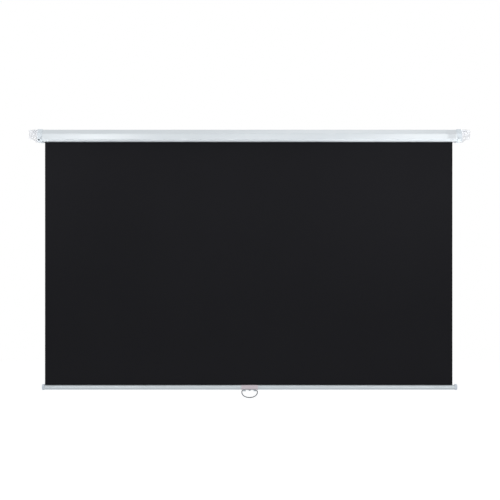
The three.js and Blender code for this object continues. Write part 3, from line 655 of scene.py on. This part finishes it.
def sleeve_points(mouth, end, low, high):
    """Rings round the bar's middle line, from the bottom of the bore out to its mouth, over the
    mouth's edge, along the outside and round to the middle of the end face. mouth and end are X."""
    inward = 1 if end > mouth else -1
    radius = bar_y - low.y
    shoulder, ledge = radius - sleeve_corner, high.z - bar_z - sleeve_corner
    outline = np.vstack([
        arc((0, 0), radius, 180, 360, 48),
        arc((shoulder, ledge), sleeve_corner, 0, 90, 16),
        arc((-shoulder, ledge), sleeve_corner, 90, 180, 16),
    ])
    angle = np.linspace(0, 2 * np.pi, sleeve_sides, endpoint=False)
    given = np.unwrap(np.arctan2(outline[:, 1], outline[:, 0]))
    order = np.argsort(given % (2 * np.pi))
    reach = np.interp(angle, (given % (2 * np.pi))[order], np.hypot(*outline.T)[order],
                      period=2 * np.pi)
    bore = np.full_like(reach, sleeve_bore)
    bottom = end - inward * sleeve_end_wall
    turn = np.linspace(0, np.pi / 2, 7)
    rings = [(bottom, 0 * reach), (bottom, bore), (mouth, bore), (mouth, reach - mouth_round),
             (mouth + inward * mouth_round, reach)]
    rings += [(end - inward * end_round * (1 - math.sin(a)), reach - end_round * (1 - math.cos(a)))
              for a in turn]
    rings.append((end, 0 * reach))
    x = np.array([ring[0] for ring in rings])[:, None]
    r = np.array([ring[1] for ring in rings])
    return np.stack(np.broadcast_arrays(
        x, bar_y + r * np.cos(angle), bar_z + r * np.sin(angle)), axis=-1)


for side in ("left", "right"):
    low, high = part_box(f"bar_cap_{side}")
    mouth, end = (high.x, low.x) if side == "left" else (low.x, high.x)
    points = sleeve_points(mouth, end, low, high)
    quads = grid_quads(len(points), sleeve_sides, columns_meet=True)
    make_piece(f"bar_sleeve_{side}", points, quads, "bar", sleeve_abs, [f"bar_cap_{side}"])

# %% [markdown]
# ## Handle
#
# At the bar's middle a film band is wrapped round the tube, and a steel saddle is screwed up
# against it. The saddle's ends are curled into two knuckles. Its plate is as thin as a knuckle's
# wall, so that it ends above the bores and the wire clears it. The ring is one length of wire: its
# ends turn in and run in the knuckles, and its bow is half an ellipse.

# %% Band and saddle
band_low, band_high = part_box("handle_band")
band_radius, band_thickness, band_edge = bar_z - band_low.z, 0.8 * MM, 20
band_line = arc((bar_y, bar_z), band_radius, 90 + band_edge, 450 - band_edge, 128)
band_points, band_quads = strip_along_x(band_line, band_thickness, [band_low.x, band_high.x])
make_piece("band_film", band_points, band_quads, "bar", band_film, ["handle_band"])

saddle_low, saddle_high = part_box("handle_saddle")
knuckle_z, knuckle_bore, knuckle_radius = bar_z - 18.7 * MM, 3.0 * MM, 4.1 * MM
plate_inside = bar_z - knuckle_z - knuckle_radius
plate_thickness = knuckle_radius - knuckle_bore
plate_edge = 42
plate_line = arc((bar_y, bar_z), plate_inside + plate_thickness, 270 - plate_edge,
                 270 + plate_edge, 48)
plate = strip_along_x(plate_line, plate_thickness, [saddle_low.x, saddle_high.x])
knuckle_length, rim_bend = 15 * MM, 0.4 * MM
knuckles = []
for outer in (saddle_low.x, saddle_high.x):
    inner = outer - math.copysign(knuckle_length, outer)
    wall = [(inner, knuckle_bore), (inner, knuckle_radius),
            (outer, knuckle_radius), (outer, knuckle_bore)]
    rim = soften([wall[-1], *wall, wall[0]], rim_bend, 4)
    knuckles.append(turned_on_x(rim[1:-1], (bar_y, knuckle_z), 48))
saddle_points, saddle_quads = merged(plate, *knuckles)
make_piece("saddle_steel", saddle_points, saddle_quads, "bar", zinc_plate, ["handle_saddle"])

# %% Pull ring
ring_low, ring_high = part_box("pull_ring")
ring_wire, ring_step, stub_gap = 2.6 * MM, 1 * MM, 2 * MM
half_width = (ring_high.x - ring_low.x) / 2 - ring_wire
bend = 2 * ring_wire
bow_top, bow_low = -2 * bend, ring_low.z + ring_wire - knuckle_z
left_bend = arc((bend - half_width, -bend), bend, 90, 180, 24)
bow_angle = np.linspace(np.pi, 1.5 * np.pi, 80)
left_bow = np.stack([half_width * np.cos(bow_angle),
                     bow_top + (bow_top - bow_low) * np.sin(bow_angle)], axis=1)
stub_end = saddle_high.x - knuckle_length + stub_gap
left_half = np.vstack([[-stub_end, 0], left_bend, left_bow])
loop = np.vstack([left_half, left_half[-2::-1] * [-1, 1]])
loop = np.stack([loop[:, 0], np.full(len(loop), bar_y), knuckle_z + loop[:, 1]], axis=1)
ring_path = evenly(loop, ring_step)
into_wall = np.tile([0.0, 1.0, 0.0], (len(ring_path), 1))
ring_points, ring_quads = wire_along(ring_path, into_wall, ring_wire, 24)
make_piece("ring_wire", ring_points, ring_quads, "ring", nickel_painted_dark, ["pull_ring"])

# %% [markdown]
# ## Room and light
#
# The photograph is a cut-out on white with soft light from the front. Two softboxes stand as far
# back as the camera, above the height of the case, where the case's upright face mirrors them as
# the two bright stretches that the photograph shows, with a narrow one between them for the middle.
# A wide lamp overhead lights the case's sloping face and the top of the bar. Three low lamps with
# narrow beams reach the case's foot, and a small one fills the left bracket. The world fills in
# from everywhere. What the camera and the reflections see of it is plain white, and the pale floor
# keeps a faint shadow.

# %% Floor
FLOOR, FLOOR_HALF, FLOOR_GLOW = -2.25, 7.0, 0.56
floor_mesh = bpy.data.meshes.new("floor")
corner = np.array([[-1, -1], [1, -1], [1, 1], [-1, 1]]) * FLOOR_HALF
floor_mesh.from_pydata([(x, y, FLOOR) for x, y in corner.tolist()], [], [(0, 1, 2, 3)])
floor = bpy.data.objects.new("floor", floor_mesh)
bpy.context.scene.collection.objects.link(floor)

floor_paint = bpy.data.materials.new("pale_floor")
floor_paint.use_nodes = True
tree = floor_paint.node_tree
tree.nodes.clear()
matt = add_node(floor_paint, "ShaderNodeBsdfDiffuse", {"Color": linear("#e4e6e8")})
lift = add_node(floor_paint, "ShaderNodeEmission", {"Color": linear("#ffffff")})
rays = add_node(floor_paint, "ShaderNodeLightPath")
seen = add_node(floor_paint, "ShaderNodeMath",
                {0: rays.outputs["Is Camera Ray"], 1: rays.outputs["Is Glossy Ray"]},
                operation="MAXIMUM")
seen_share = add_node(floor_paint, "ShaderNodeMath", {0: seen.outputs[0], 1: FLOOR_GLOW},
                      operation="MULTIPLY")
tree.links.new(seen_share.outputs[0], lift.inputs["Strength"])
both = add_node(floor_paint, "ShaderNodeAddShader",
                {0: matt.outputs["BSDF"], 1: lift.outputs["Emission"]})
output = add_node(floor_paint, "ShaderNodeOutputMaterial")
tree.links.new(both.outputs[0], output.inputs["Surface"])
floor_mesh.materials.append(floor_paint)

# %% World
SKY_LIGHT = 0.57
world = bpy.data.worlds.new("studio")
bpy.context.scene.world = world
world.use_nodes = True
world.node_tree.nodes.clear()
rays = add_node(world, "ShaderNodeLightPath")
camera_or_gloss = add_node(world, "ShaderNodeMath",
                           {0: rays.outputs["Is Camera Ray"], 1: rays.outputs["Is Glossy Ray"]},
                           operation="MAXIMUM")
shown = add_node(world, "ShaderNodeMath",
                 {0: camera_or_gloss.outputs[0], 1: rays.outputs["Is Transmission Ray"]},
                 operation="MAXIMUM")
strength = add_node(world, "ShaderNodeMapRange",
                    {"Value": shown.outputs[0], "To Min": SKY_LIGHT})
sky = add_node(world, "ShaderNodeBackground",
               {"Color": linear("#ffffff"), "Strength": strength.outputs["Result"]})
add_node(world, "ShaderNodeOutputWorld", {"Surface": sky.outputs["Background"]})
print(f"the world lights the object with {SKY_LIGHT:.2f} of white")

# %% Lamps
def soft_lamp(name, place, aim, width, height, power, spread=180):
    """A rectangular lamp at a place, turned so that it faces the point it is aimed at. The spread
    is the angle of its beam in degrees, as a grid in front of a softbox would narrow it."""
    lamp_data = bpy.data.lights.new(name, "AREA")
    lamp_data.shape = "RECTANGLE"
    lamp_data.size, lamp_data.size_y = width, height
    lamp_data.energy = power
    lamp_data.spread = math.radians(spread)
    lamp = bpy.data.objects.new(name, lamp_data)
    bpy.context.scene.collection.objects.link(lamp)
    lamp.location = place
    lamp.rotation_euler = (Vector(aim) - Vector(place)).to_track_quat("-Z", "Y").to_euler()
    lamp.visible_camera = False
    print(f"{name}: {power} W")


soft_lamp("left_softbox", (-1.71, -4.6, 0.62), (0, 0, -0.6), 0.52, 1.2, 25)
soft_lamp("right_softbox", (2.03, -4.6, 0.62), (0, 0, -0.6), 0.95, 1.2, 30)
soft_lamp("front_softbox", (0.15, -4.8, 0.62), (0, 0, -0.6), 0.7, 1.0, 8)
soft_lamp("top_softbox", (0.5, -0.5, 2.6), (0.2, -0.1, 0), 2.4, 1.0, 11.5)
soft_lamp("low_right_softbox", (1.12, -0.6, -1.9), (1.12, -0.04, 0), 1.2, 0.3, 1.0, spread=22)
soft_lamp("low_left_softbox", (-1.3, -0.6, -1.9), (-1.1, -0.04, 0), 0.8, 0.3, 0.45, spread=22)
soft_lamp("low_middle_softbox", (-0.05, -0.6, -1.9), (-0.05, -0.04, 0), 1.2, 0.3, 0.55, spread=22)
soft_lamp("end_fill", (-1.9, -1.6, -0.5), (-1.22, 0, 0), 0.4, 0.4, 0.12, spread=45)

# %% [markdown]
# ## Last steps
#
# Standard view transform keeps a colour as it is written.

# %% Finish
bpy.context.scene.view_settings.view_transform = "Standard"
